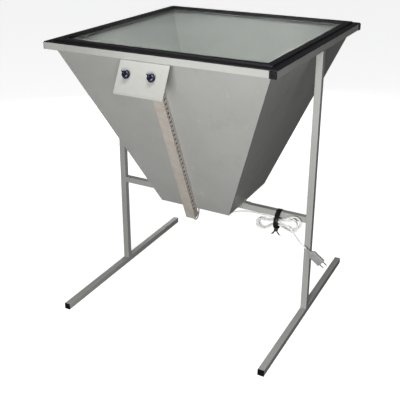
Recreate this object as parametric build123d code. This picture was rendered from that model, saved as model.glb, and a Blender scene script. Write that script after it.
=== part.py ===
from build123d import *
import math
import os

# Exposure table for screen printing: an upturned square steel hopper hangs in a square-tube stand.
# A lamp at its foot shines up through a glass pane framed in rubber, and a small console on the
# front holds two rotary switches. Everything is drawn about the middle of the top frame, in mm,
# +Y to the back, and moved at the end so that the origin is under the middle of the whole part.

# ---- driving dimensions ----
frame_size = 880.0        # outer width and depth of the top frame, and length of the feet
frame_top = 1100.0        # height of the steel under the rubber
tube = 25.0               # square tube, outside
tube_wall = 1.5
tube_corner = 2.0         # outside radius of the tube's edges
cross_rail_top = 428.0
cap_face = 3.0            # visible thickness of a plastic end cap
cap_spigot = 12.0
cap_gap = 0.2             # spigot to tube wall, each side

# hopper
sheet = 1.5
hopper_drop = 20.0        # its upper edge, below the top of the frame
hopper_foot_width = 300.0
hopper_foot_front = 140.0  # reach of the foot in front of the frame's middle
hopper_foot_back = 205.0   # and behind it
seam_flange = 12.0        # lap flange of the side panels on the front and back panels

# glass bed
ledge_leg = 17.0
ledge_shelf = 18.0
ledge_wall = 2.0
tape_thickness = 2.0
tape_width = 14.0
glass_thickness = 6.0
glass_gap = 3.0           # glass edge to the tube beside it
seal_base_height = 3.0
seal_lip_height = 10.0
seal_lip_width = 23.0     # raised inner part, over the glass
seal_chamfer = 1.2

# console
console_width = 190.0
console_x = -20.0         # its middle
console_drop = 98.0       # height of the sloping face
console_reach = 49.0      # how far its lower edge stands out beyond the upper one
console_lip = 8.0
console_wall = 1.5
strut_drop = 100.0        # top of the struts behind its lower edge, below the top of the frame
strut_offset = 34.0       # of each strut, from the console's middle
screw_inset = 20.0        # screws of its top flange, in from its sides
knob_spacing = 97.0
knob_share = 0.452        # knob height, as a share of the slope down from its upper edge
knob_offset = -6.5        # middle of the pair of knobs, from the middle of the console
switch_size = 30.0
switch_depth = 24.0
bush_radius = 5.0
bush_length = 8.0
nut_width = 14.0
nut_thickness = 2.5
shaft_radius = 3.0
shaft_clearance = 0.06
knob_radius = 14.5
knob_height = 13.0
knob_skirt = 3.0
knob_lift = 0.5           # knob off its nut
pointer_length = 22.0
pointer_turn = 60.0       # degrees left of straight up, both switches off
fit_gap = 0.3             # a screw or bush in its hole

# wiring duct
duct_width = 40.0
duct_depth = 30.0
duct_wall = 1.5
duct_x = -10.0
duct_drop = 95.0          # its upper end, behind the console, below the top of the frame
duct_overhang = 34.0      # reach below the hopper's edge, along the slope
slot_pitch = 20.0
slot_width = 7.0
slot_length = 15.0

# lamp
lamp_holder_radius = 21.0
lamp_holder_height = 48.0
bulb_radius = 45.0
bulb_neck_radius = 14.0
bulb_centre = 95.0        # above the holder

# mains lead, a round PVC lead
cord_diameter = 6.0
gland_x = 30.0
gland_y = -34.0
gland_length = 14.0
lead_diameter = 5.0       # lead between duct and lamp
hank_thickness = 26.0
hank_gap = 1.8            # hank to the rail behind it
tie_width = 20.0
tie_thickness = 1.2
plug_length = 58.0
plug_width = 36.0
plug_thickness = 15.0
plug_slope = 41.0         # degrees below the horizontal
pin_radius = 2.4
pin_length = 19.0
pin_spacing = 19.0

# ---- worked-out sizes ----
half = frame_size / 2
inner = half - tube
rail_low = frame_top - tube
hopper_top_z = frame_top - hopper_drop
strut_top = frame_top - strut_drop
duct_top = frame_top - duct_drop
post_x = half - tube / 2
glass_half = inner - glass_gap
foot_z = cross_rail_top + sheet             # hopper panels stand on the bottom plate
hopper_half = inner - ledge_wall - 0.2      # outside of the hopper at its top
foot_x = hopper_foot_width / 2
rise = hopper_top_z - foot_z
run_x = (hopper_half - foot_x) / rise       # outward per mm up, side panels
run_front = (hopper_half - hopper_foot_front) / rise    # the same, front panel
run_back = (hopper_half - hopper_foot_back) / rise
glass_low = frame_top - glass_thickness
ledge_top = glass_low - tape_thickness
console_top = rail_low - 0.5
console_front = half + 1.0 + console_reach
screw_radius = 1.9
screw_y = tube / 2 - half                   # under the middle of the front rail
flange_screws = [console_x + sign * (console_width / 2 - screw_inset) for sign in (-1, 1)]
shift_y = (console_front - (half + cap_face)) / 2   # puts the origin under the middle of the part

made = {}


def save(name, shape):
    """Keep one node. Its solids are written at the end."""
    made[name] = shape


def bar(x0, x1, y0, y1, z0, z1):
    return Pos((x0 + x1) / 2, (y0 + y1) / 2, (z0 + z1) / 2) * Box(x1 - x0, y1 - y0, z1 - z0)


def plate(points, direction, thickness):
    """A flat plate: a polygon pushed along a direction."""
    face = make_face(Polyline(*[Vector(*p) for p in points], close=True))
    return extrude(face, amount=thickness, dir=Vector(*direction).normalized())


def tube_along(axis, length):
    """Hollow square tube, centred on the origin, open at both ends."""
    body = fillet(Box(tube, tube, length).edges().filter_by(Axis.Z), tube_corner)
    body -= Box(tube - 2 * tube_wall, tube - 2 * tube_wall, length + 2)
    turn = {"x": Rot(0, 90, 0), "y": Rot(90, 0, 0), "z": Rot(0, 0, 0)}[axis]
    return turn * body


def cap_at(place, outward):
    """Plastic end cap: a bevelled face plate on a hollow spigot, looking along outward."""
    side = tube - 2 * tube_wall - 2 * cap_gap
    face = Pos(0, 0, cap_face / 2) * Box(tube, tube, cap_face)
    face = fillet(face.edges().filter_by(Axis.Z), tube_corner)
    face = chamfer(face.faces().sort_by(Axis.Z)[-1].edges(), 0.8)
    spigot = Pos(0, 0, -cap_spigot / 2) * (
        Box(side, side, cap_spigot) - Pos(0, 0, -2) * Box(side - 4, side - 4, cap_spigot)
    )
    return Plane(origin=place, z_dir=outward) * (face + spigot)


# ---- stand ----
def build_stand():
    """Pinwheel top frame: each rail runs past one neighbour and stops against the other."""
    rail_length = frame_size - tube
    mid = frame_top - tube / 2
    off = half - tube / 2
    front = Pos(-tube / 2, -off, mid) * tube_along("x", rail_length)
    for x in flange_screws:
        front -= Pos(x, screw_y, rail_low) * Cylinder(screw_radius + 0.1, 4 * tube_wall)
    save("rail_front", front)
    save("rail_right", Pos(off, -tube / 2, mid) * tube_along("y", rail_length))
    save("rail_back", Pos(tube / 2, off, mid) * tube_along("x", rail_length))
    save("rail_left", Pos(-off, tube / 2, mid) * tube_along("y", rail_length))
    save("rail_cap_front_left", cap_at((-half, -off, mid), (-1, 0, 0)))
    save("rail_cap_front_right", cap_at((off, -half, mid), (0, -1, 0)))
    save("rail_cap_back_right", cap_at((half, off, mid), (1, 0, 0)))
    save("rail_cap_back_left", cap_at((-off, half, mid), (0, 1, 0)))
    post_length = rail_low - tube
    for side, sign in (("left", -1), ("right", 1)):
        save("post_" + side, Pos(sign * post_x, 0, tube + post_length / 2) * tube_along("z", post_length))
        save("foot_" + side, Pos(sign * post_x, 0, tube / 2) * tube_along("y", frame_size))
        for end, way in (("front", -1), ("back", 1)):
            place = (sign * post_x, way * half, tube / 2)
            save("foot_cap_" + side + "_" + end, cap_at(place, (0, way, 0)))
    cross = frame_size - 2 * tube
    save("cross_rail", Pos(0, 0, cross_rail_top - tube / 2) * tube_along("x", cross))


# ---- hopper ----
def hopper_point(sx, sy, z):
    """A point on an outer corner edge of the hopper."""
    up = z - foot_z
    y = hopper_foot_back + run_back * up
    if sy < 0:
        y = -(hopper_foot_front + run_front * up)
    return (sx * (foot_x + run_x * up), y, z)


def build_hopper():
    """Two full side panels whose flanges lap over the front and back panels between them."""
    lean_x = sheet * math.hypot(1, run_x)

    def cross_outline(sy, run, z):
        x, y, _ = hopper_point(1, sy, z)
        x -= lean_x
        inner_y = y - sy * sheet * math.hypot(1, run)
        return make_face(Polyline((-x, y, z), (x, y, z), (x, inner_y, z), (-x, inner_y, z), close=True))

    def side_outline(sx, z):
        x, front, _ = hopper_point(sx, -1, z)
        back = hopper_point(sx, 1, z)[1]
        inner_x = x - sx * lean_x
        return make_face(Polyline((x, front, z), (x, back, z), (inner_x, back, z), (inner_x, front, z), close=True))

    runs = {-1: run_front, 1: run_back}
    for name, sy in (("front", -1), ("back", 1)):
        low, high = (cross_outline(sy, runs[sy], z) for z in (foot_z, hopper_top_z))
        save("hopper_" + name, loft([low, high]))
    flange_top = rail_low - 1.0
    for side, sx in (("left", -1), ("right", 1)):
        body = loft([side_outline(sx, foot_z), side_outline(sx, hopper_top_z)])
        for sy in (-1, 1):
            low = Vector(*hopper_point(sx, sy, foot_z))
            high = Vector(*hopper_point(sx, sy, flange_top))
            across = Vector(-sx * seam_flange, 0, 0)
            outward = Vector(0, sy, -runs[sy])
            body += plate([low, high, high + across, low + across], outward, sheet)
        save("hopper_" + side, body)
    edge = 1.0
    base = bar(edge - foot_x, foot_x - edge, edge - hopper_foot_front, hopper_foot_back - edge,
               cross_rail_top, foot_z)
    base -= Pos(duct_x, lead_end_y, cross_rail_top) * Cylinder(lead_hole, 4 * sheet)
    base -= Pos(gland_x, gland_y, cross_rail_top) * Cylinder(gland_hole, 4 * sheet)
    save("hopper_bottom", base)
    save("foot_brackets", bracket(1) + bracket(-1))


def bracket(sx):
    """Bent strap that ties the hopper's side panel to the cross rail."""
    thick, reach, rise_up, wide = 2.0, 24.0, 24.0, 22.0
    x0 = foot_x + 0.6
    profile = [(x0, cross_rail_top), (x0 + reach, cross_rail_top), (x0 + reach, cross_rail_top + thick)]
    profile += [(x0 + thick + 1.0, cross_rail_top + thick)]
    profile += [(x0 + thick + 1.0 + run_x * rise_up, cross_rail_top + rise_up)]
    profile += [(x0 + run_x * rise_up, cross_rail_top + rise_up)]
    pts = [(sx * x, -wide / 2, z) for x, z in profile]
    return plate(pts, (0, 1, 0), wide)


# ---- glass bed ----
def ring_sides(outer, inner_half, z0, z1):
    """Four mitred sides of a square ring, front, right, back and left."""
    sides = {}
    for i, name in enumerate(("front", "right", "back", "left")):
        pts = [(-outer, -outer, z0), (outer, -outer, z0), (inner_half, -inner_half, z0)]
        pts += [(-inner_half, -inner_half, z0)]
        sides[name] = Rot(0, 0, 90 * i) * plate(pts, (0, 0, 1), z1 - z0)
    return sides


def build_glass_bed():
    legs = ring_sides(inner, inner - ledge_wall, ledge_top - ledge_leg, ledge_top)
    shelves = ring_sides(inner - ledge_wall, inner - ledge_shelf, ledge_top - ledge_wall, ledge_top)
    for name in legs:
        save("ledge_" + name, legs[name] + shelves[name])
    tape_out = inner - ledge_wall - 1.0
    tapes = ring_sides(tape_out, tape_out - tape_width, ledge_top, glass_low)
    save("glazing_tape", tapes["front"] + tapes["right"] + tapes["back"] + tapes["left"])
    save("glass_pane", bar(-glass_half, glass_half, -glass_half, glass_half, glass_low, frame_top))
    lip_out = inner
    base = ring_sides(half, lip_out, frame_top, frame_top + seal_base_height)
    lip = ring_sides(lip_out, lip_out - seal_lip_width, frame_top, frame_top + seal_lip_height)
    for i, name in enumerate(base):
        strip = Rot(0, 0, -90 * i) * (base[name] + lip[name])
        edges = strip.edges().filter_by(Axis.X)
        tops = edges.filter_by(lambda e: e.center().Z > frame_top + 0.1 and e.center().Y < -inner + 0.1)
        tops = tops.filter_by(lambda e: e.center().Y < -half + 0.1 or e.center().Z > frame_top + seal_base_height)
        strip = chamfer(tops, seal_chamfer)
        save("seal_" + name, Rot(0, 0, 90 * i) * strip)


# ---- console ----
panel_top = Vector(0, -(half + 1.0), console_top)
panel_knee = Vector(0, -console_front, console_top - console_drop)
panel_down = (panel_knee - panel_top).normalized()
panel_out = Vector(0, panel_down.Z, -panel_down.Y)      # square to the face, out and up
face_out = Vector(0, -1, -run_front).normalized()       # square to the hopper's front panel


def hopper_front_y(z):
    return -(hopper_foot_front + run_front * (z - foot_z))


def knob_plane(i):
    """Plane on the console's face at a switch: X to the right, Y up the slope, Z outward."""
    along = (panel_knee - panel_top).length * knob_share
    place = panel_top + panel_down * along
    place = Vector(console_x + knob_offset + (i - 0.5) * knob_spacing, place.Y, place.Z)
    return Plane(origin=place, x_dir=(1, 0, 0), z_dir=panel_out)


def build_console():
    low_z = panel_knee.Z - console_lip
    x0 = console_x - console_width / 2
    back = -panel_out * console_wall
    # the inner side of the bend: where the inner lines of slope and lip cross
    top_in = panel_top + back
    knee_in = top_in + panel_down * ((panel_knee.Y + console_wall - top_in.Y) / panel_down.Y)
    top_in = top_in + panel_down * ((console_top - top_in.Z) / panel_down.Z)
    outer = [(panel_top.Y, console_top), (panel_knee.Y, panel_knee.Z), (panel_knee.Y, low_z)]
    inside = [(knee_in.Y, low_z), (knee_in.Y, knee_in.Z), (top_in.Y, console_top)]
    skin = plate([(x0, y, z) for y, z in outer + inside], (1, 0, 0), console_width)
    for i in (0, 1):
        skin -= knob_plane(i) * Cylinder(bush_radius + fit_gap, 6 * console_wall)
    flange_back = hopper_front_y(console_top) - sheet - fit_gap
    under = console_top - console_wall
    slope_low = top_in + panel_down * (console_wall / -panel_down.Z)
    outline = [(top_in.Y, console_top), (flange_back, console_top), (flange_back, under), (slope_low.Y, under)]
    flange = plate([(x0, y, z) for y, z in outline], (1, 0, 0), console_width)
    screws = []
    for x in flange_screws:
        flange -= Pos(x, screw_y, under) * Cylinder(screw_radius + fit_gap, 4 * console_wall)
        screws.append(console_screw(x, screw_y, under))
    save("console_panel", skin)
    save("console_flange", flange)
    save("console_screws", Compound(screws))
    high_in = knee_in + panel_down * ((strut_top - knee_in.Z) / panel_down.Z)
    outline = [(knee_in.Y, low_z), (knee_in.Y, knee_in.Z), (high_in.Y, strut_top)]
    outline += [(hopper_front_y(strut_top) - 0.1, strut_top), (hopper_front_y(low_z) - 0.1, low_z)]
    struts = []
    for sign in (-1, 1):
        x = console_x + sign * strut_offset - console_wall / 2
        struts.append(plate([(x, y, z) for y, z in outline], (1, 0, 0), console_wall))
    save("console_struts", Compound(struts))


def console_screw(x, y, z):
    """Pan-head screw with a cross recess, up through the flange into the rail."""
    head = Pos(0, 0, 1.2) * Cylinder(3.8, 2.4)
    head = fillet(head.faces().sort_by(Axis.Z)[-1].edges(), 1.0)
    head -= Pos(0, 0, 2.0) * (Box(4, 0.9, 1.6) + Box(0.9, 4, 1.6))
    shank = Pos(0, 0, -4) * Cylinder(screw_radius, 8)
    return Plane(origin=(x, y, z), z_dir=(0, 0, -1)) * (head + shank)


def build_switches():
    nuts = []
    for i, side in ((0, "left"), (1, "right")):
        spot = knob_plane(i)
        behind = -console_wall
        body = Pos(0, 0, behind - switch_depth / 2) * Box(switch_size, switch_size, switch_depth)
        body = fillet(body.edges().filter_by(Axis.Z), 3.0)
        for x in (-8, 0, 8):
            body += Pos(x, -switch_size / 2 + 5, behind - switch_depth - 3) * Box(4, 1, 6)
        bush = Pos(0, 0, behind + bush_length / 2) * Cylinder(bush_radius, bush_length)
        body += bush
        hole_depth = bush_length + 10
        hole = Pos(0, 0, behind + bush_length - hole_depth / 2) * Cylinder(
            shaft_radius + shaft_clearance, hole_depth)
        save("switch_" + side, spot * (body - hole))
        nut = extrude(RegularPolygon(nut_width / 2, 6, major_radius=False), nut_thickness)
        nut -= Cylinder(bush_radius, 3 * nut_thickness)
        nuts.append(spot * nut)
        top = behind + bush_length + knob_lift
        shaft_low = behind + bush_length - hole_depth + 0.5
        shaft_high = top + knob_height - 4.0
        shaft = Pos(0, 0, (shaft_low + shaft_high) / 2) * Cylinder(shaft_radius, shaft_high - shaft_low)
        save("shaft_" + side, spot * shaft)
        save("knob_" + side, spot * (Pos(0, 0, top) * Rot(0, 0, pointer_turn) * knob()))
    save("switch_nuts", Compound(nuts))


def knob():
    """Round knob with a wide skirt and a beak that points up the slope."""
    skirt = Pos(0, 0, knob_skirt / 2) * Cylinder(knob_radius, knob_skirt)
    grip = Pos(0, 0, knob_height / 2) * Cylinder(knob_radius - 2.5, knob_height)
    grip = fillet(grip.faces().sort_by(Axis.Z)[-1].edges(), 2.5)
    outline = [(-6, 6), (-1.2, pointer_length), (1.2, pointer_length), (6, 6)]
    beak = plate([(x, y, 0) for x, y in outline], (0, 0, 1), knob_height - 5)
    solid = skirt + grip + beak
    return solid - Pos(0, 0, (knob_height - 4) / 2) * Cylinder(shaft_radius, knob_height - 4)


# ---- wiring duct ----
lead_hole = 7.0
gland_hole = 8.0
lead_end_y = -hopper_foot_front + 54.0


def duct_plane():
    """Plane on the hopper's front panel, at the duct's upper end: X right, Y up, Z out."""
    place = Vector(duct_x, hopper_front_y(duct_top), duct_top)
    return Plane(origin=place, x_dir=(1, 0, 0), z_dir=face_out)


def build_duct():
    spot = duct_plane()
    length = (duct_top - foot_z) * math.hypot(1, run_front) + duct_overhang
    lid = 2.0
    w, d = duct_width, duct_depth - lid
    base = Pos(0, -length / 2, d / 2) * Box(w, length, d)
    base -= Pos(0, -length / 2, d / 2 + duct_wall) * Box(w - 2 * duct_wall, length + 2, d)
    count = int((length - slot_pitch) / slot_pitch)
    first = (length - (count - 1) * slot_pitch) / 2
    slots = []
    for i in range(count):
        cut = Box(w + 20, slot_width, slot_length)
        slots.append(Pos(0, -first - i * slot_pitch, d / 2 + 1) * cut)
    base = base - slots
    save("duct_base", spot * base)
    cover = Pos(0, -length / 2, d + lid / 2) * Box(w + 1.2, length, lid)
    cover = fillet(cover.edges().filter_by(Axis.Y).sort_by(Axis.Z)[-2:], 1.2)
    for sx in (-1, 1):
        rib_x = sx * (w / 2 - duct_wall - 0.2 - 0.6)
        cover += Pos(rib_x, -length / 2, d - 1.5) * Box(1.2, length, 3)
    save("duct_cover", spot * cover)
    heads = []
    for y in (-30, -length / 2, -length + duct_overhang + 20):
        head = Pos(0, y, duct_wall + 1.1) * Cylinder(3.5, 2.2)
        heads.append(spot * head)
    save("duct_screws", Compound(heads))


# ---- lamp ----
def build_lamp():
    base = foot_z
    body = Pos(0, 0, base + lamp_holder_height / 2) * Cylinder(lamp_holder_radius, lamp_holder_height)
    flange = Pos(0, 0, base + 3) * Cylinder(lamp_holder_radius + 9, 6)
    bore = Pos(0, 0, base + lamp_holder_height - 15) * Cylinder(bulb_neck_radius, 31)
    save("lamp_holder", fillet((body + flange).edges().filter_by(GeomType.CIRCLE).sort_by(Axis.Z)[-1:], 2) - bore)
    top = base + lamp_holder_height
    neck = Pos(0, 0, top - 12) * Cylinder(bulb_neck_radius - 0.4, 24)
    save("lamp_cap", neck)
    ball = Pos(0, 0, top + bulb_centre) * Sphere(bulb_radius)
    cone_height = bulb_centre - bulb_radius * 0.5
    taper = Pos(0, 0, top + cone_height / 2) * Cone(bulb_neck_radius - 0.4, bulb_radius * 0.86, cone_height)
    save("lamp_bulb", taper + ball)


# ---- cords ----
def tube_on(points, diameter, name):
    """A round lead along a route: straight runs joined by the largest arcs that they allow."""
    pts = [Vector(*p) for p in points]
    radii = []
    for a, b, c in zip(pts, pts[1:], pts[2:]):
        turn = math.radians((b - a).get_angle(c - b))
        radii.append(0.45 * min((b - a).length, (c - b).length) / math.tan(turn / 2))
    path = FilletPolyline(*pts, radius=radii)
    start = Plane(origin=pts[0], z_dir=pts[1] - pts[0])
    solid = sweep(start * Circle(diameter / 2), path=path, transition=Transition.RIGHT)
    length = path.length
    share = solid.volume / (math.pi * diameter ** 2 / 4 * length)
    print(name, "length", round(length, 1), "volume share", round(share, 4))
    print("  radii", [round(r, 1) for r in radii])
    return solid


mains_feed = [
    (30, -34, 416), (30.5, -34, 397), (38.5, -33, 382), (52.5, -31, 372), (70, -29, 370),
    (87, -27, 375.5), (106, -24.5, 383), (128, -22, 391), (152, -19, 397), (180, -17.5, 401),
    (215, -17.2, 402.5), (250, -17.8, 402), (284, -21, 398),
]
mains_tail = [
    (362, -37, 383), (378, -35, 362), (394, -32, 338), (412, -28.5, 317), (430, -25.5, 302), (446, -24, 289),
]
lead_loop = [
    (-10, -140, 400), (-10.5, -131.5, 380), (-9.5, -120, 365), (-9, -104, 361), (-9.3, -91, 371),
    (-10, -86, 387), (-10, -86, 406),
]


def build_mains():
    body = Pos(gland_x, gland_y, cross_rail_top - 6) * extrude(RegularPolygon(10, 6), 6)
    nose = Pos(gland_x, gland_y, cross_rail_top - gland_length + 4) * Cylinder(6.5, 8)
    thread = Pos(gland_x, gland_y, cross_rail_top + 3) * Cylinder(gland_hole - 0.2, 6)
    gland = body + nose + thread
    gland -= Pos(gland_x, gland_y, cross_rail_top - gland_length) * Cylinder(cord_diameter / 2 + 0.2, 4)
    nut = Pos(gland_x, gland_y, foot_z) * extrude(RegularPolygon(11, 6), 4)
    nut -= Pos(gland_x, gland_y, foot_z) * Cylinder(gland_hole - 0.2, 20)
    save("mains_gland", gland)
    save("gland_nut", nut)
    save("mains_cord_feed", tube_on(mains_feed, cord_diameter, "feed"))
    save("cord_hank", hank())
    save("cord_tie", tie())
    save("mains_cord_tail", tube_on(mains_tail, cord_diameter, "tail"))
    build_plug()


hank_left = (243, 366, 27)
hank_waist = (304, 384, 14)
hank_right = (366, 403, 31)


def hank():
    """Outer shape of the folded lead: two lobes pinched at the tie, in front of the rail."""
    def disc(spec):
        x, z, r = spec
        return Pos(x, z) * Circle(r)
    left = make_hull((disc(hank_left) + disc(hank_waist)).edges())
    right = make_hull((disc(hank_waist) + disc(hank_right)).edges())
    flat = left + right
    front = Plane(origin=(0, -tube / 2 - hank_gap, 0), x_dir=(1, 0, 0), z_dir=(0, -1, 0))
    return extrude(front * flat, hank_thickness)


def tie():
    """Tape round the rail and the waist of the hank, with its knot and two tails."""
    gap = 0.3
    y_back = tube / 2 + gap
    y_front = -tube / 2 - hank_gap - hank_thickness - gap
    z_top, z_low = cross_rail_top + gap, hank_waist[1] - hank_waist[2] - 8

    def outline(grow):
        pts = [(y_back + grow, z_top + grow), (-tube / 2 - grow, z_top + grow)]
        pts += [(y_front - grow, hank_waist[1] + 23 + grow), (y_front - grow, z_low - grow)]
        pts += [(-tube / 2 - hank_gap, z_low - grow)]
        pts += [(y_back + grow, cross_rail_top - tube - gap - grow)]
        return plate([(hank_waist[0] - tie_width / 2, y, z) for y, z in pts], (1, 0, 0), tie_width)

    band = outline(tie_thickness) - outline(0)
    x, z = hank_waist[0] + 6, z_low - 2
    knot = Pos(x, y_front - 3, z + 2) * Sphere(6)
    for dx in (-14, 12):
        tail = plate([(x - 3, y_front - 3, z), (x + 3, y_front - 3, z),
                      (x + dx + 3, y_front - 4, z - 22), (x + dx - 3, y_front - 4, z - 22)],
                     (0, -1, 0), 1.4)
        knot += tail
    return band + (knot - outline(0.2))


def build_plug():
    """Flat two-pin plug, square to the end of the lead."""
    start, before = Vector(*mains_tail[-1]), Vector(*mains_tail[-2])
    ahead = (start - before).normalized()
    spot = Plane(origin=start, x_dir=Vector(0, 1, 0), z_dir=ahead)
    body = Pos(0, 0, plug_length / 2) * Box(plug_thickness, plug_width, plug_length)
    body = fillet(body.edges().filter_by(Axis.Z), 4.5)
    save("plug_body", spot * chamfer(body.faces().sort_by(Axis.Z)[0].edges(), 3.5))
    pins = []
    for sign in (-1, 1):
        pin = Pos(0, sign * pin_spacing / 2, plug_length + pin_length / 2) * Cylinder(pin_radius, pin_length)
        pins.append(spot * fillet(pin.faces().sort_by(Axis.Z)[-1].edges(), 1.2))
    save("plug_pins", Compound(pins))


def build_lamp_lead():
    """Lead that leaves the foot of the duct, hangs in a short loop and goes up into the hopper."""
    save("lamp_lead", tube_on(lead_loop, lead_diameter, "lamp lead"))
    x, y = lead_loop[-1][0], lead_loop[-1][1]
    ring = Pos(x, y, cross_rail_top - 12) * Cylinder(9, 24)
    ring -= Pos(x, y, cross_rail_top - 24) * Cylinder(lead_diameter / 2 + 0.2, 4)
    save("lead_grommet", ring)


build_stand()
build_hopper()
build_glass_bed()
build_console()
build_switches()
build_duct()
build_lamp()
build_mains()
build_lamp_lead()

os.makedirs("parts", exist_ok=True)
for name, shape in made.items():
    export_step(Pos(0, shift_y, 0) * shape, "parts/" + name + ".step")
print(len(made), "nodes, origin", round(shift_y, 2), "mm in front of the frame's middle")
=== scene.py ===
import bpy
import bmesh
import math
from mathutils import Matrix, Vector, noise


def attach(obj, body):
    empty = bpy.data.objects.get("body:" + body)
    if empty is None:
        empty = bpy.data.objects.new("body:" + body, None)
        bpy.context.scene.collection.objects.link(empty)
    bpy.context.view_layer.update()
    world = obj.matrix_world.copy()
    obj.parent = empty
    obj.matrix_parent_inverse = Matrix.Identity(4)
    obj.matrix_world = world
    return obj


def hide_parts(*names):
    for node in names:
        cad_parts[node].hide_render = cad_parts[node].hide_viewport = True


noise.seed_set(11)        # noise vectors start from the clock unless they are seeded
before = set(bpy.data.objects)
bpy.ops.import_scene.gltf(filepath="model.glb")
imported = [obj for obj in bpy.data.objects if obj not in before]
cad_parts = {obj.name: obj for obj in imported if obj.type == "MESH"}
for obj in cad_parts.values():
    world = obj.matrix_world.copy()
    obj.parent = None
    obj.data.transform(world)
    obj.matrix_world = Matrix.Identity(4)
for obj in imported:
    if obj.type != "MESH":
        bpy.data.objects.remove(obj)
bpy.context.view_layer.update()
scene = bpy.context.scene
mm = 0.001
middleY = 23.5            # the table's own middle lies this far back from the origin, in mm
print("frame loaded,", len(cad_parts), "CAD nodes")


def spot(x, y, z):        # a point given in mm about the middle of the table
    return Vector((x * mm, (y + middleY) * mm, z * mm))


# ---------- camera ----------
cameraSpec = {"place": (1151, -2249, 1595), "yaw": 0.4965, "pitch": 0.3639, "lens": 60.7,
              "shift": (0.0085, -0.13)}
cameraData = bpy.data.cameras.new("camera")
cameraData.sensor_width = 36.0
cameraData.lens = cameraSpec["lens"]
cameraData.shift_x, cameraData.shift_y = cameraSpec["shift"]
cameraData.clip_end = 200.0
camera = bpy.data.objects.new("camera", cameraData)
camera.location = spot(*cameraSpec["place"])
camera.rotation_euler = (math.pi / 2 - cameraSpec["pitch"], 0, cameraSpec["yaw"])
scene.collection.objects.link(camera)
scene.camera = camera
print("camera set")


# ---------- materials ----------
def toLinear(hexColour):
    parts = [int(hexColour[i:i + 2], 16) / 255 for i in (1, 3, 5)]
    return [p / 12.92 if p <= 0.04045 else ((p + 0.055) / 1.055) ** 2.4 for p in parts] + [1.0]


def addNode(tree, kind, settings=None, links=None, **options):
    node = tree.nodes.new("ShaderNode" + kind)
    for key, value in options.items():
        setattr(node, key, value)
    for key, value in (settings or {}).items():
        node.inputs[key].default_value = value
    for key, source in (links or {}).items():
        tree.links.new(source, node.inputs[key])
    return node


def startMaterial(name, **shader):
    mat = bpy.data.materials.new(name)
    mat.use_nodes = True
    tree = mat.node_tree
    tree.nodes.clear()
    body = addNode(tree, "BsdfPrincipled", shader)
    out = addNode(tree, "OutputMaterial")
    tree.links.new(body.outputs["BSDF"], out.inputs["Surface"])
    where = addNode(tree, "TexCoord").outputs["Object"]
    return mat, tree, body, where


def stretch(tree, where, scale, turn=(0, 0, 0)):      # a pattern drawn out along one way
    return addNode(tree, "Mapping", {"Scale": scale, "Rotation": turn}, {"Vector": where}).outputs["Vector"]


def tones(tree, factor, stops):                        # places and hex colours of a ramp
    ramp = addNode(tree, "ValToRGB", links={"Fac": factor})
    while len(ramp.color_ramp.elements) < len(stops):
        ramp.color_ramp.elements.new(0.5)
    for element, (place, colour) in zip(ramp.color_ramp.elements, stops):
        element.position = place
        element.color = toLinear(colour)
    return ramp.outputs["Color"]


def coatedSteel(name, light, dark, peelSize, peelDepth, waveDepth=0.0, rough=(0.36, 0.52)):
    # Powder coat baked on mild steel: a satin skin with orange peel, thin rubs and a little grime.
    # The peel is 1 to 2 mm on the real coat and is drawn a bit coarser so that it shows.
    mat, tree, body, where = startMaterial(name, IOR=1.5)
    cloud = addNode(tree, "TexNoise", {"Scale": 3.2, "Detail": 5.0, "Roughness": 0.62}, {"Vector": where})
    base = tones(tree, cloud.outputs["Fac"], [(0.3, dark), (0.7, light)])
    rubs = addNode(tree, "TexNoise", {"Scale": 55.0, "Detail": 3.0, "Roughness": 0.7},
                   {"Vector": stretch(tree, where, (1.0, 1.0, 0.07), (0.25, 0.4, 0.0))})
    rubMask = addNode(tree, "MapRange", {"From Min": 0.63, "From Max": 0.74, "To Min": 0.0, "To Max": 0.16},
                      {"Value": rubs.outputs["Fac"]})
    grime = addNode(tree, "TexNoise", {"Scale": 11.0, "Detail": 8.0, "Roughness": 0.72}, {"Vector": where})
    grimeMask = addNode(tree, "MapRange", {"From Min": 0.58, "From Max": 0.8, "To Min": 0.0, "To Max": 0.3},
                        {"Value": grime.outputs["Fac"]})
    worn = addNode(tree, "Mix", {"B": toLinear("#D9D8D3")}, data_type="RGBA")
    tree.links.new(rubMask.outputs["Result"], worn.inputs["Factor"])
    tree.links.new(base, worn.inputs["A"])
    dirty = addNode(tree, "Mix", {"B": toLinear("#6E6B64")}, data_type="RGBA")
    tree.links.new(grimeMask.outputs["Result"], dirty.inputs["Factor"])
    tree.links.new(worn.outputs["Result"], dirty.inputs["A"])
    tree.links.new(dirty.outputs["Result"], body.inputs["Base Color"])
    gloss = addNode(tree, "MapRange",
                    {"From Min": 0.3, "From Max": 0.75, "To Min": rough[0], "To Max": rough[1]},
                    {"Value": grime.outputs["Fac"]})
    tree.links.new(gloss.outputs["Result"], body.inputs["Roughness"])
    peel = addNode(tree, "TexNoise", {"Scale": 1000.0 / peelSize, "Detail": 2.0, "Roughness": 0.4},
                   {"Vector": where})
    skin = addNode(tree, "Bump", {"Strength": 0.55, "Distance": peelDepth * mm},
                   {"Height": peel.outputs["Fac"]})
    if waveDepth:
        # thin sheet is never flat: low swells some 150 mm apart
        swell = addNode(tree, "TexNoise", {"Scale": 6.5, "Detail": 1.0}, {"Vector": where})
        skin = addNode(tree, "Bump", {"Strength": 0.7, "Distance": waveDepth * mm},
                       {"Height": swell.outputs["Fac"], "Normal": skin.outputs["Normal"]})
    tree.links.new(skin.outputs["Normal"], body.inputs["Normal"])
    return mat


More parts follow.
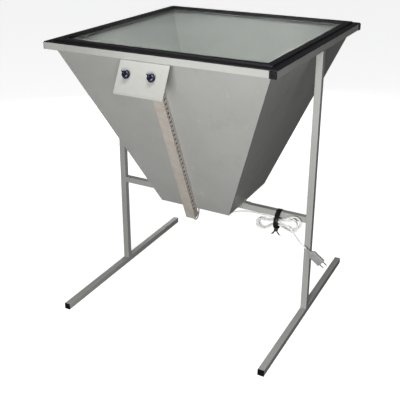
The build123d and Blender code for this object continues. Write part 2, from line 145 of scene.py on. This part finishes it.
def mouldedPlastic(name, light, dark, rough, grainSize, grainDepth, along=(1, 1, 1), coat=0.0, dust=0.0,
                   ior=1.5):
    # Moulded or extruded plastic and rubber: even colour, fine texture, dust that dulls it in patches.
    mat, tree, body, where = startMaterial(name, IOR=ior)
    body.inputs["Coat Weight"].default_value = coat
    body.inputs["Coat Roughness"].default_value = 0.08
    cloud = addNode(tree, "TexNoise", {"Scale": 45.0, "Detail": 6.0, "Roughness": 0.65}, {"Vector": where})
    base = tones(tree, cloud.outputs["Fac"], [(0.32, dark), (0.68, light)])
    patch = addNode(tree, "TexNoise", {"Scale": 120.0, "Detail": 7.0, "Roughness": 0.75}, {"Vector": where})
    dustMask = addNode(tree, "MapRange", {"From Min": 0.55, "From Max": 0.8, "To Min": 0.0, "To Max": dust},
                       {"Value": patch.outputs["Fac"]})
    mix = addNode(tree, "Mix", {"B": toLinear("#A8A59D")}, data_type="RGBA")
    tree.links.new(dustMask.outputs["Result"], mix.inputs["Factor"])
    tree.links.new(base, mix.inputs["A"])
    tree.links.new(mix.outputs["Result"], body.inputs["Base Color"])
    gloss = addNode(tree, "MapRange",
                    {"From Min": 0.3, "From Max": 0.75, "To Min": rough[0], "To Max": rough[1]},
                    {"Value": patch.outputs["Fac"]})
    tree.links.new(gloss.outputs["Result"], body.inputs["Roughness"])
    grain = addNode(tree, "TexNoise", {"Scale": 1000.0 / grainSize, "Detail": 3.0, "Roughness": 0.6},
                    {"Vector": stretch(tree, where, along)})
    skin = addNode(tree, "Bump", {"Strength": 0.6, "Distance": grainDepth * mm},
                   {"Height": grain.outputs["Fac"]})
    tree.links.new(skin.outputs["Normal"], body.inputs["Normal"])
    return mat


def plainMetal(name, light, dark, rough, grainSize, along=(1, 1, 1)):
    # Plated or bare metal: drawn or turned marks break up the reflection.
    mat, tree, body, where = startMaterial(name, Metallic=1.0)
    marks = addNode(tree, "TexNoise", {"Scale": 1000.0 / grainSize, "Detail": 4.0, "Roughness": 0.7},
                    {"Vector": stretch(tree, where, along)})
    base = tones(tree, marks.outputs["Fac"], [(0.35, dark), (0.65, light)])
    tree.links.new(base, body.inputs["Base Color"])
    gloss = addNode(tree, "MapRange",
                    {"From Min": 0.3, "From Max": 0.7, "To Min": rough[0], "To Max": rough[1]},
                    {"Value": marks.outputs["Fac"]})
    tree.links.new(gloss.outputs["Result"], body.inputs["Roughness"])
    skin = addNode(tree, "Bump", {"Strength": 0.4, "Distance": 0.05 * mm}, {"Height": marks.outputs["Fac"]})
    tree.links.new(skin.outputs["Normal"], body.inputs["Normal"])
    return mat


def floatGlass(name):
    # 6 mm float glass: clear, faintly green, with wiped smears that only dull the shine.
    mat, tree, body, where = startMaterial(name, IOR=1.5)
    body.inputs["Base Color"].default_value = toLinear("#F6FBF8")
    body.inputs["Transmission Weight"].default_value = 1.0
    smear = addNode(tree, "TexNoise", {"Scale": 7.0, "Detail": 6.0, "Roughness": 0.7},
                    {"Vector": stretch(tree, where, (1.0, 0.25, 1.0), (0, 0, 0.7))})
    gloss = addNode(tree, "MapRange", {"From Min": 0.4, "From Max": 0.8, "To Min": 0.0, "To Max": 0.05},
                    {"Value": smear.outputs["Fac"]})
    tree.links.new(gloss.outputs["Result"], body.inputs["Roughness"])
    return mat


finish = {
    "tubeCoat": coatedSteel("powderCoatedTube", "#A6A6A2", "#9A9A96", 2.4, 0.10),
    "sheetCoat": coatedSteel("powderCoatedSheet", "#A0A09D", "#959592", 3.0, 0.12, 1.6),
    "consoleCoat": coatedSteel("powderCoatedConsole", "#A8A8A4", "#9E9E9A", 2.0, 0.08),
    "capPlastic": mouldedPlastic("polyetheneCap", "#0B0B0E", "#060608", (0.24, 0.36), 0.9, 0.03, dust=0.02),
    "sealRubber": mouldedPlastic("extrudedRubber", "#17151A", "#0B0A0D", (0.4, 0.56), 1.6, 0.12, dust=0.04),
    "foamTape": mouldedPlastic("closedCellFoam", "#2B2B2C", "#1A1A1B", (0.8, 0.95), 0.9, 0.25),
    "paneGlass": floatGlass("floatGlass"),
    "ductPlastic": mouldedPlastic("extrudedTrunking", "#B0AAA2", "#A29B92", (0.4, 0.56), 2.2, 0.08,
                                  dust=0.12),
    "knobPlastic": mouldedPlastic("polishedKnob", "#0F1730", "#0A1022", (0.12, 0.22), 1.5, 0.02, coat=0.6),
    "pointerPaint": mouldedPlastic("pointerPaint", "#8E97A8", "#7C8698", (0.4, 0.5), 1.0, 0.03),
    "nylon": mouldedPlastic("blackNylon", "#1C1C1E", "#111113", (0.34, 0.48), 1.1, 0.05, dust=0.06),
    "whiteFlex": mouldedPlastic("whiteFlexSheath", "#EDEDEA", "#DAD9D4", (0.36, 0.5), 1.4, 0.05, dust=0.12),
    "greyFlex": mouldedPlastic("greyFlexSheath", "#BDBDBA", "#A8A8A5", (0.4, 0.55), 1.4, 0.05, dust=0.1),
    "plugPlastic": mouldedPlastic("mouldedGreyPlug", "#9B9C9B", "#8A8B8A", (0.38, 0.52), 0.9, 0.07,
                                  dust=0.08),
    "tapeFilm": mouldedPlastic("blackTapeFilm", "#121214", "#08080A", (0.28, 0.5), 4.0, 0.5),
    "zinc": plainMetal("zincPlatedSteel", "#C4C6C6", "#9DA0A2", (0.28, 0.42), 0.6),
    "nickel": plainMetal("nickelPlatedBrass", "#D6D2C8", "#B9B4A8", (0.14, 0.26), 0.5, (1, 1, 0.15)),
    "glaze": mouldedPlastic("glazedCeramic", "#EFEBDF", "#E2DCCB", (0.08, 0.16), 3.0, 0.05, coat=0.5),
    "opal": mouldedPlastic("opalLampGlass", "#F6F4EE", "#EAE8E0", (0.1, 0.18), 4.0, 0.02, coat=0.7),
}
print("materials made:", len(finish))

# ---------- CAD nodes that keep their shape ----------
nodeFinish = [
    ("rail_cap", "capPlastic"), ("foot_cap", "capPlastic"), ("hopper_", "sheetCoat"), ("ledge_", "sheetCoat"),
    ("rail_", "tubeCoat"), ("post_", "tubeCoat"), ("foot_", "tubeCoat"), ("cross_rail", "tubeCoat"),
    ("seal_", "sealRubber"), ("glass_pane", "paneGlass"), ("glazing_tape", "foamTape"),
    ("console_screws", "zinc"), ("console_", "consoleCoat"),
    ("switch_nuts", "nickel"), ("switch_", "nylon"), ("shaft_", "zinc"), ("knob_", "knobPlastic"),
    ("duct_screws", "zinc"), ("duct_", "ductPlastic"), ("lamp_holder", "glaze"), ("lamp_cap", "nickel"),
    ("lamp_bulb", "opal"), ("lamp_lead", "greyFlex"), ("lead_grommet", "nylon"), ("mains_gland", "nylon"),
    ("gland_nut", "nylon"), ("mains_cord", "whiteFlex"), ("cord_hank", "whiteFlex"), ("cord_tie", "tapeFilm"),
    ("plug_body", "plugPlastic"), ("plug_pins", "nickel"),
]
for nodeName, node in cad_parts.items():
    chosen = next(f for start, f in nodeFinish if nodeName.startswith(start))
    node.data.materials.clear()
    node.data.materials.append(finish[chosen])
# lamps and daylight reach the hopper through the pane
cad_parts["glass_pane"].visible_shadow = False
print("CAD nodes dressed")


# ---------- small tools for new pieces ----------
def closePiece(name, bm, materials, place=None, sharp=35, body="stand"):
    bmesh.ops.remove_doubles(bm, verts=bm.verts, dist=0.01 * mm)
    bmesh.ops.recalc_face_normals(bm, faces=bm.faces)
    if place is not None:
        bmesh.ops.transform(bm, matrix=place, verts=bm.verts)
    mesh = bpy.data.meshes.new(name)
    bm.to_mesh(mesh)
    bm.free()
    for polygon in mesh.polygons:
        polygon.use_smooth = True
    mesh.set_sharp_from_angle(angle=math.radians(sharp))
    for material in materials:
        mesh.materials.append(material)
    piece = bpy.data.objects.new(name, mesh)
    scene.collection.objects.link(piece)
    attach(piece, body)
    return piece


def turned(bm, profile, steps=48):       # a lathe shape from (radius, height) pairs in mm
    ring = [bm.verts.new((r * mm, 0, z * mm)) for r, z in profile]
    edges = [bm.edges.new(pair) for pair in zip(ring, ring[1:])]
    bmesh.ops.spin(bm, geom=ring + edges, cent=(0, 0, 0), axis=(0, 0, 1), angle=2 * math.pi, steps=steps,
                   use_merge=True)


def facing(origin, outward, across):     # a matrix that stands a piece on a face
    z = Vector(outward).normalized()
    x = (Vector(across) - z * z.dot(Vector(across))).normalized()
    y = z.cross(x)
    turn = Matrix((x, y, z)).transposed().to_4x4()
    return Matrix.Translation(origin) @ turn


# ---------- leads ----------
def makeLead(name, points, diameter, material):
    curve = bpy.data.curves.new(name, "CURVE")
    curve.dimensions = "3D"
    curve.bevel_depth = diameter / 2 * mm
    curve.bevel_resolution = 5
    curve.resolution_u = 8
    curve.use_fill_caps = True
    spline = curve.splines.new("NURBS")
    spline.points.add(len(points) - 1)
    for target, point in zip(spline.points, points):
        target.co = (*spot(*point), 1.0)
    spline.order_u = 3
    spline.use_endpoint_u = True
    curve.materials.append(material)
    lead = bpy.data.objects.new(name, curve)
    scene.collection.objects.link(lead)
    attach(lead, "stand")
    return lead


mains = {
    "diameter": 6.0, "length": 2.11,
    "feed": [(30, -34, 416), (30.2, -34, 403), (33.5, -33.5, 389.5), (42, -32.2, 378.5),
             (54.5, -31, 371.5), (70, -29, 370), (87, -27, 375.5), (106, -24.5, 383), (128, -22, 391),
             (152, -19, 397), (180, -17.5, 401), (215, -17.2, 402.5), (248, -17.4, 401.5),
             (275, -17, 400), (295, -16.6, 395)],
    "waist": (304, 388, 7),       # middle of the tied place, and how far its strands lie above and below that
    "beside": 9,                  # points at the edges of the tie, either side of its middle
    "straight": (17, 12),         # run straight after the tie, and before a fold
    "foldStart": {"right": 120, "left": -60},    # degrees at which a fold begins, going clockwise
    "foldStep": 30,
    # depth of each turn, then the middle and radius of its right and left folds
    "turns": [(-16.6, (370, 397, 26), (244, 372, 22)),
              (-22.2, (361, 390, 26), (253, 376, 21)),
              (-27.8, (378, 402, 25), (240, 369, 22)),
              (-33.4, (367, 387, 25), (250, 373, 22))],
    "leave": [(313, -37.5, 395), (328, -39.5, 394), (342, -40.5, 394), (354, -40.5, 389.5),
              (365, -39.5, 379.5)],
    "tail": [(378, -36, 362), (394, -32, 338), (412, -28.5, 317), (430, -25.5, 302), (446, -24, 289)],
}


def windHank(spec):           # each turn folds over at the right, then at the left
    points = []
    x0, z0, gap = spec["waist"]
    rightEdge, leftEdge = x0 + spec["beside"], x0 - spec["beside"]
    begin = spec["foldStart"]
    depths = [turn[0] for turn in spec["turns"]] + [spec["leave"][0][1]]
    for (depth, right, left), nextDepth in zip(spec["turns"], depths[1:]):
        points += foldOver(spec, Vector((rightEdge, depth, z0 + gap)), Vector((rightEdge, depth, z0 - gap)),
                           right, begin["right"])
        points += foldOver(spec, Vector((leftEdge, depth, z0 - gap)), Vector((leftEdge, nextDepth, z0 + gap)),
                           left, begin["left"])
    return points


def foldOver(spec, out, home, fold, first):        # from the tie, round a fold, and back to the tie
    x, z, radius = fold
    afterTie, beforeFold = spec["straight"]
    arc = []
    for step in range(9):
        angle = math.radians(first - step * spec["foldStep"])
        depth = out.y + (home.y - out.y) * step / 8
        arc.append(Vector((x + radius * math.cos(angle), depth, z + radius * math.sin(angle))))
    outward, homeward = (arc[0] - out).normalized(), (home - arc[-1]).normalized()
    points = [out, out + outward * afterTie, arc[0] - outward * beforeFold] + arc
    points += [arc[-1] + homeward * beforeFold, home - homeward * afterTie, home]
    return [tuple(point) for point in points]


mainsLead = makeLead("mainsLead", mains["feed"] + windHank(mains) + mains["leave"] + mains["tail"],
                     mains["diameter"], finish["whiteFlex"])
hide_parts("mains_cord_feed", "cord_hank", "mains_cord_tail")

lampLead = {"diameter": 5.0, "length": 0.107,
            "route": [(-10, -140, 400), (-10.5, -131.5, 380), (-9.5, -120, 365), (-9, -104, 361),
                      (-9.3, -91, 371), (-10, -86, 387), (-10, -86, 406)]}
loopLead = makeLead("lampLeadLoop", lampLead["route"], lampLead["diameter"], finish["greyFlex"])
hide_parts("lamp_lead")
print("leads laid")

# ---------- cable gland and its strain relief ----------
gland = {"place": (30, -34), "hexRadius": 10.0, "hexThick": 6.0, "top": 428.0, "sleeveTop": 416.0,
         "bore": 3.05, "grooves": 5, "groovePitch": 3.6, "grooveDepth": 0.7,
         "dome": [(3.3, -14), (5.6, -13.8), (6.5, -12.6), (7.6, -10), (8.0, -7.5), (8.0, -6), (3.3, -6)]}
bm = bmesh.new()
bmesh.ops.create_circle(bm, segments=6, radius=gland["hexRadius"] * mm, cap_ends=True)
lifted = bmesh.ops.extrude_face_region(bm, geom=list(bm.faces))
bmesh.ops.translate(bm, vec=(0, 0, -gland["hexThick"] * mm),
                    verts=[v for v in lifted["geom"] if isinstance(v, bmesh.types.BMVert)])
bmesh.ops.bevel(bm, geom=bm.edges[:], offset=0.7 * mm, offset_type="OFFSET", segments=2, profile=0.5,
                affect="EDGES", material=-1)
turned(bm, gland["dome"], 24)
glandPiece = closePiece("cableGland", bm, [finish["nylon"]],
                        Matrix.Translation(spot(*gland["place"], gland["top"])), 40)
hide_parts("mains_gland")

bm = bmesh.new()
sleeve = [(gland["bore"], 0), (5.2, 0), (5.2, -4)]
for groove in range(gland["grooves"]):
    low = -5 - groove * gland["groovePitch"]
    radius = 5.1 - groove * 0.3                    # the sleeve tapers toward the lead
    floorRadius = radius - gland["grooveDepth"]
    sleeve += [(radius, low), (floorRadius, low - 0.9), (floorRadius, low - 1.8), (radius - 0.1, low - 2.6)]
sleeve += [(3.5, -24), (gland["bore"], -25)]
turned(bm, sleeve, 24)
reliefPiece = closePiece("glandRelief", bm, [finish["nylon"]],
                         Matrix.Translation(spot(*gland["place"], gland["sleeveTop"])), 50)

# ---------- mains plug ----------
plug = {"long": 58.0, "wide": 36.0, "thick": 15.0, "corner": 4.6, "endEdge": 1.2,
        "ribs": 20, "ribWidth": 0.94, "ribThickness": 0.97,
        "bootGrooves": 5, "bootPitch": 4.4, "grooveDepth": 0.9}
beforePlug, plugStart = (spot(*point) for point in mains["tail"][-2:])
plugPlace = facing(plugStart, plugStart - beforePlug, (0, 1, 0))
bm = bmesh.new()
bmesh.ops.create_cube(bm, size=1.0)
bmesh.ops.scale(bm, vec=(plug["thick"] * mm, plug["wide"] * mm, plug["long"] * mm), verts=bm.verts)
bmesh.ops.translate(bm, vec=(0, 0, plug["long"] / 2 * mm), verts=bm.verts)
upright = [e for e in bm.edges if abs(e.verts[0].co.z - e.verts[1].co.z) > 10 * mm]
bmesh.ops.bevel(bm, geom=upright, offset=plug["corner"] * mm, offset_type="OFFSET", segments=4, profile=0.5,
                affect="EDGES", material=-1)
upright = [e for e in bm.edges if abs(e.verts[0].co.z - e.verts[1].co.z) > 10 * mm]
bmesh.ops.subdivide_edges(bm, edges=upright, cuts=plug["ribs"] - 1, use_grid_fill=True)
for vert in bm.verts:
    along = vert.co.z / (plug["long"] * mm)
    inRib = 0.3 < along < 0.62 and round(along * plug["ribs"]) % 2      # finger grip about the middle
    vert.co.y *= min(1.0, 0.5 + 4.2 * along) * (plug["ribWidth"] if inRib else 1.0)
    vert.co.x *= min(1.0, 0.7 + 1.2 * along) * (plug["ribThickness"] if inRib else 1.0)
ends = [e for e in bm.edges if all(v.co.z > (plug["long"] - 0.1) * mm for v in e.verts)]
bmesh.ops.bevel(bm, geom=ends, offset=plug["endEdge"] * mm, offset_type="OFFSET", segments=2, profile=0.5,
                affect="EDGES", material=-1)
plugPiece = closePiece("plugBody", bm, [finish["plugPlastic"]], plugPlace, 32)
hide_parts("plug_body")

bm = bmesh.new()
boot = [(gland["bore"], 1.0), (6.4, 1.0)]
for groove in range(plug["bootGrooves"]):
    low = -0.5 - groove * plug["bootPitch"]
    radius = 6.2 - groove * 0.55                   # the boot tapers toward the lead
    floorRadius = radius - plug["grooveDepth"]
    boot += [(radius, low), (floorRadius, low - 1.2), (floorRadius, low - 2.4), (radius - 0.2, low - 3.2)]
boot += [(3.4, -23), (gland["bore"], -24)]
turned(bm, boot, 24)
bootPiece = closePiece("plugBoot", bm, [finish["plugPlastic"]], plugPlace, 50)

print("gland and plug made")

# ---------- tape tie ----------
tie = {"x": (294, 314), "loop": [(13.2, 428.6), (4, 429.3), (-6, 429.2), (-14, 427.6), (-24, 420), (-34, 410),
                                 (-41, 399), (-42.4, 384), (-40.5, 370), (-33, 363.4), (-22, 363), (-15, 368),
                                 (-5, 382), (8, 396), (13.2, 404), (13.8, 416)],
       "strips": 5, "thick": 1.1, "crumple": 1.1803, "crumpleScale": 160}
bm = bmesh.new()
loop = [bm.verts.new(spot(tie["x"][0], y, z)) for y, z in tie["loop"]]
edges = [bm.edges.new((a, b)) for a, b in zip(loop, loop[1:] + loop[:1])]
for strip in range(tie["strips"]):
    grown = bmesh.ops.extrude_edge_only(bm, edges=edges)["geom"]
    edges = [g for g in grown if isinstance(g, bmesh.types.BMEdge) and all(v in grown for v in g.verts)]
    bmesh.ops.translate(bm, vec=((tie["x"][1] - tie["x"][0]) / tie["strips"] * mm, 0, 0),
                        verts=[g for g in grown if isinstance(g, bmesh.types.BMVert)])
bmesh.ops.subdivide_edges(bm, edges=bm.edges[:], cuts=1, use_grid_fill=True)
for vert in bm.verts:
    vert.co += noise.noise_vector(vert.co * tie["crumpleScale"]) * tie["crumple"] * mm
tapeBand = closePiece("tapeBand", bm, [finish["tapeFilm"]], None, 60)
thick = tapeBand.modifiers.new("thick", "SOLIDIFY")
thick.thickness = tie["thick"] * mm
thick.offset = 1.0
soft = tapeBand.modifiers.new("soft", "SUBSURF")
soft.levels = soft.render_levels = 1
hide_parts("cord_tie")

knot = {"place": (308, -45.5, 364), "radius": 7.6, "squash": (1.15, 0.75, 0.9)}
bm = bmesh.new()
bmesh.ops.create_icosphere(bm, subdivisions=3, radius=knot["radius"] * mm)
bmesh.ops.scale(bm, vec=knot["squash"], verts=bm.verts)
for vert in bm.verts:             # coarse lumps of wound tape with finer creases over them
    vert.co *= 1 + 0.28 * noise.noise(vert.co * 260) + 0.1 * noise.noise(vert.co * 620)
knotPiece = closePiece("tapeKnot", bm, [finish["tapeFilm"]], Matrix.Translation(spot(*knot["place"])), 60)


tail = {"width": 10.0, "pinch": 2.2, "thick": 0.9}


def tapeTail(name, start, end, lean):    # a loose end that widens, bows out and is pinched at the knot
    bm = bmesh.new()
    bmesh.ops.create_grid(bm, x_segments=4, y_segments=12, size=0.5)
    down = Vector(end) - Vector(start)
    for vert in bm.verts:
        share = vert.co.y + 0.5
        wide = tail["width"] * (0.75 + 0.35 * share) * vert.co.x
        bow = math.sin(share * math.pi) * lean
        crease = abs(vert.co.x) * tail["pinch"] * (1 - share)
        place = Vector(start) + down * share + Vector((wide, -abs(bow) - crease, 0.25 * wide * lean))
        vert.co = spot(*place)
    piece = closePiece(name, bm, [finish["tapeFilm"]], None, 60)
    piece.modifiers.new("thick", "SOLIDIFY").thickness = tail["thick"] * mm


tapeTail("tapeTailLeft", (306, -46.5, 363), (293, -47, 343), 1.6)
tapeTail("tapeTailRight", (311, -46.5, 363), (325, -46, 344), -1.4)
print("tie made")

# ---------- knobs ----------
knobSpec = {
    "spots": {"left": -75.0, "right": 22.0}, "y": -463.14, "z": 1030.22, "lift": 7.0, "turn": 60.0,
    "out": (0, -0.894427, 0.447214),              # square to the sloping panel
    "profile": [(3.02, 0), (14.0, 0), (14.5, 0.5), (14.5, 2.3), (13.9, 3.0), (12.2, 3.3), (11.9, 4.0),
                (11.6, 11.0), (10.9, 12.4), (9.6, 13.0), (7.4, 12.6), (0, 12.3)],
    "flutes": 24, "fluteDepth": 0.045,
    "beak": (9.0, 20.0, 7.8), "beakPlace": (0, 12.4, 4.1), "beakEdge": 0.7,
    "mark": (0.6, 6.0, 0.4), "markPlace": (0, 6.2, 12.75),
}
for side, x in knobSpec["spots"].items():
    bm = bmesh.new()
    turned(bm, knobSpec["profile"], 96)
    for vert in bm.verts:
        reach = math.hypot(vert.co.x, vert.co.y)
        if reach > 9 * mm and 3.5 * mm < vert.co.z < 12.7 * mm:
            flute = 0.5 + 0.5 * math.cos(knobSpec["flutes"] * math.atan2(vert.co.y, vert.co.x))
            vert.co.xy *= 1 - knobSpec["fluteDepth"] * flute
    beak = bmesh.ops.create_cube(bm, size=1.0)["verts"]
    bmesh.ops.scale(bm, vec=Vector(knobSpec["beak"]) * mm, verts=beak)
    bmesh.ops.translate(bm, vec=Vector(knobSpec["beakPlace"]) * mm, verts=beak)
    for vert in beak:                             # the beak narrows and droops toward its tip
        if vert.co.y > 15 * mm:
            vert.co.x *= 0.34
            vert.co.z = 0.4 * mm + (vert.co.z - 0.2 * mm) * 0.72
    beakEdges = [e for e in bm.edges if all(v in beak for v in e.verts)]
    bmesh.ops.bevel(bm, geom=beakEdges, offset=knobSpec["beakEdge"] * mm, offset_type="OFFSET",
                    segments=2, profile=0.5, affect="EDGES", material=-1)
    out = Vector(knobSpec["out"])
    place = facing(spot(x, knobSpec["y"], knobSpec["z"]) + out * knobSpec["lift"] * mm, out, (1, 0, 0))
    place = place @ Matrix.Rotation(math.radians(knobSpec["turn"]), 4, "Z")
    knob = closePiece("knobCap" + side.title(), bm, [finish["knobPlastic"]], place, 30, side + "_switch")
    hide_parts("knob_" + side)
    # painted line on the cap, in line with the beak
    bm = bmesh.new()
    bmesh.ops.create_cube(bm, size=1.0)
    bmesh.ops.scale(bm, vec=Vector(knobSpec["mark"]) * mm, verts=bm.verts)
    bmesh.ops.translate(bm, vec=Vector(knobSpec["markPlace"]) * mm, verts=bm.verts)
    bmesh.ops.bevel(bm, geom=bm.edges[:], offset=0.12 * mm, offset_type="OFFSET", segments=1, profile=0.5,
                    affect="EDGES", material=-1)
    mark = closePiece("knobMark" + side.title(), bm, [finish["pointerPaint"]], place, 30, side + "_switch")
print("knobs made")


# ---------- weld beads where the tubes meet ----------
weld = {"radius": 1.5, "pitch": 2.2, "post": 415, "postIn": 417, "postOut": 438, "side": 12.5, "across": 10,
        "footTop": 25, "railLow": 1075, "crossRail": (405, 426), "crossTop": 428}


def weldBead(bm, start, end):                     # a rippled bead between two points given in mm
    a, b = spot(*start), spot(*end)
    steps = max(6, int((b - a).length / (weld["pitch"] * mm)))
    bead = bmesh.new()
    bmesh.ops.create_cone(bead, cap_ends=True, segments=8, radius1=weld["radius"] * mm,
                          radius2=weld["radius"] * mm, depth=(b - a).length)
    sides = [e for e in bead.edges if abs(e.verts[0].co.z - e.verts[1].co.z) > mm]
    bmesh.ops.subdivide_edges(bead, edges=sides, cuts=steps, use_grid_fill=True)
    for vert in bead.verts:
        ripple = 1 + 0.22 * math.sin(vert.co.z / mm * 2.8) + 0.15 * noise.noise(vert.co * 300)
        vert.co.xy *= ripple
    bmesh.ops.transform(bead, matrix=facing((a + b) / 2, b - a, (0.3, 1, 0.2)), verts=bead.verts)
    kept = bpy.data.meshes.new("bead")
    bead.to_mesh(kept)
    bead.free()
    bm.from_mesh(kept)
    bpy.data.meshes.remove(kept)


bm = bmesh.new()
for sign in (-1, 1):
    face, outer, inner = sign * weld["post"], sign * weld["postOut"], sign * weld["postIn"]
    for y in (-weld["side"], weld["side"]):
        for z in (weld["footTop"], weld["railLow"]):
            weldBead(bm, (inner, y, z), (outer, y, z))
    weldBead(bm, (face, -weld["across"], weld["footTop"]), (face, weld["across"], weld["footTop"]))
    for y in (-weld["side"], weld["side"]):
        weldBead(bm, (face, y, weld["crossRail"][0]), (face, y, weld["crossRail"][1]))
    weldBead(bm, (face, -weld["across"], weld["crossTop"]), (face, weld["across"], weld["crossTop"]))
weldPiece = closePiece("weldBeads", bm, [finish["tubeCoat"]], None, 60)
print("welds laid")

# ---------- floor and lights ----------
bm = bmesh.new()
bmesh.ops.create_grid(bm, x_segments=1, y_segments=1, size=40.0)
floorMesh = bpy.data.meshes.new("floor")
bm.to_mesh(floorMesh)
bm.free()
floorMat, floorTree, floorBody, floorWhere = startMaterial("paleFloor", Roughness=0.9)
floorTone = addNode(floorTree, "TexNoise", {"Scale": 0.6, "Detail": 2.0}, {"Vector": floorWhere})
floorTree.links.new(tones(floorTree, floorTone.outputs["Fac"], [(0.3, "#F2F2F2"), (0.7, "#F6F6F6")]),
                    floorBody.inputs["Base Color"])
floorBody.inputs["Emission Color"].default_value = (1, 1, 1, 1)
floorBody.inputs["Emission Strength"].default_value = 0.8
floorMesh.materials.append(floorMat)
floor = bpy.data.objects.new("floor", floorMesh)
scene.collection.objects.link(floor)
floor.visible_diffuse = False
floor.visible_glossy = False

studio = [
    # name, place, aimed at, size, watts
    ("frontSoftbox", (0.75, -2.3, 0.95), (0.05, -0.3, 0.75), 1.0, 58.0),
    ("overheadSoftbox", (0.9, -1.2, 3.4), (-0.1, 0.1, 0.9), 1.1, 32.0),
    # keeps the far side from going black, and is lower than the pane, which doesn't mirror it
    ("backFill", (-1.6, 2.6, 0.5), (0, 0.3, 0.7), 0.9, 26.0),
]
for name, place, target, size, watts in studio:
    lampData = bpy.data.lights.new(name, "AREA")
    lampData.shape = "SQUARE"
    lampData.size = size
    lampData.energy = watts
    lamp = bpy.data.objects.new(name, lampData)
    lamp.location = place
    lamp.rotation_euler = (Vector(target) - Vector(place)).to_track_quat("-Z", "Y").to_euler()
    scene.collection.objects.link(lamp)
# a narrow spot fills the hopper through the pane and little else
spotData = bpy.data.lights.new("hopperSpot", "SPOT")
spotData.energy = 112.0
spotData.spot_size = math.radians(32)
spotData.spot_blend = 0.6
spotData.shadow_soft_size = 0.12
spotLamp = bpy.data.objects.new("hopperSpot", spotData)
spotLamp.location = (0.35, -0.95, 2.7)
spotAim = Vector((-0.02, 0.06, 1.0)) - spotLamp.location
spotLamp.rotation_euler = spotAim.to_track_quat("-Z", "Y").to_euler()
scene.collection.objects.link(spotLamp)
world = bpy.data.worlds.new("studio")
scene.world = world
world.use_nodes = True
world.node_tree.nodes["Background"].inputs["Color"].default_value = (0.97, 0.98, 1.0, 1.0)
world.node_tree.nodes["Background"].inputs["Strength"].default_value = 0.1
scene.view_settings.view_transform = "Standard"
print("studio lit")
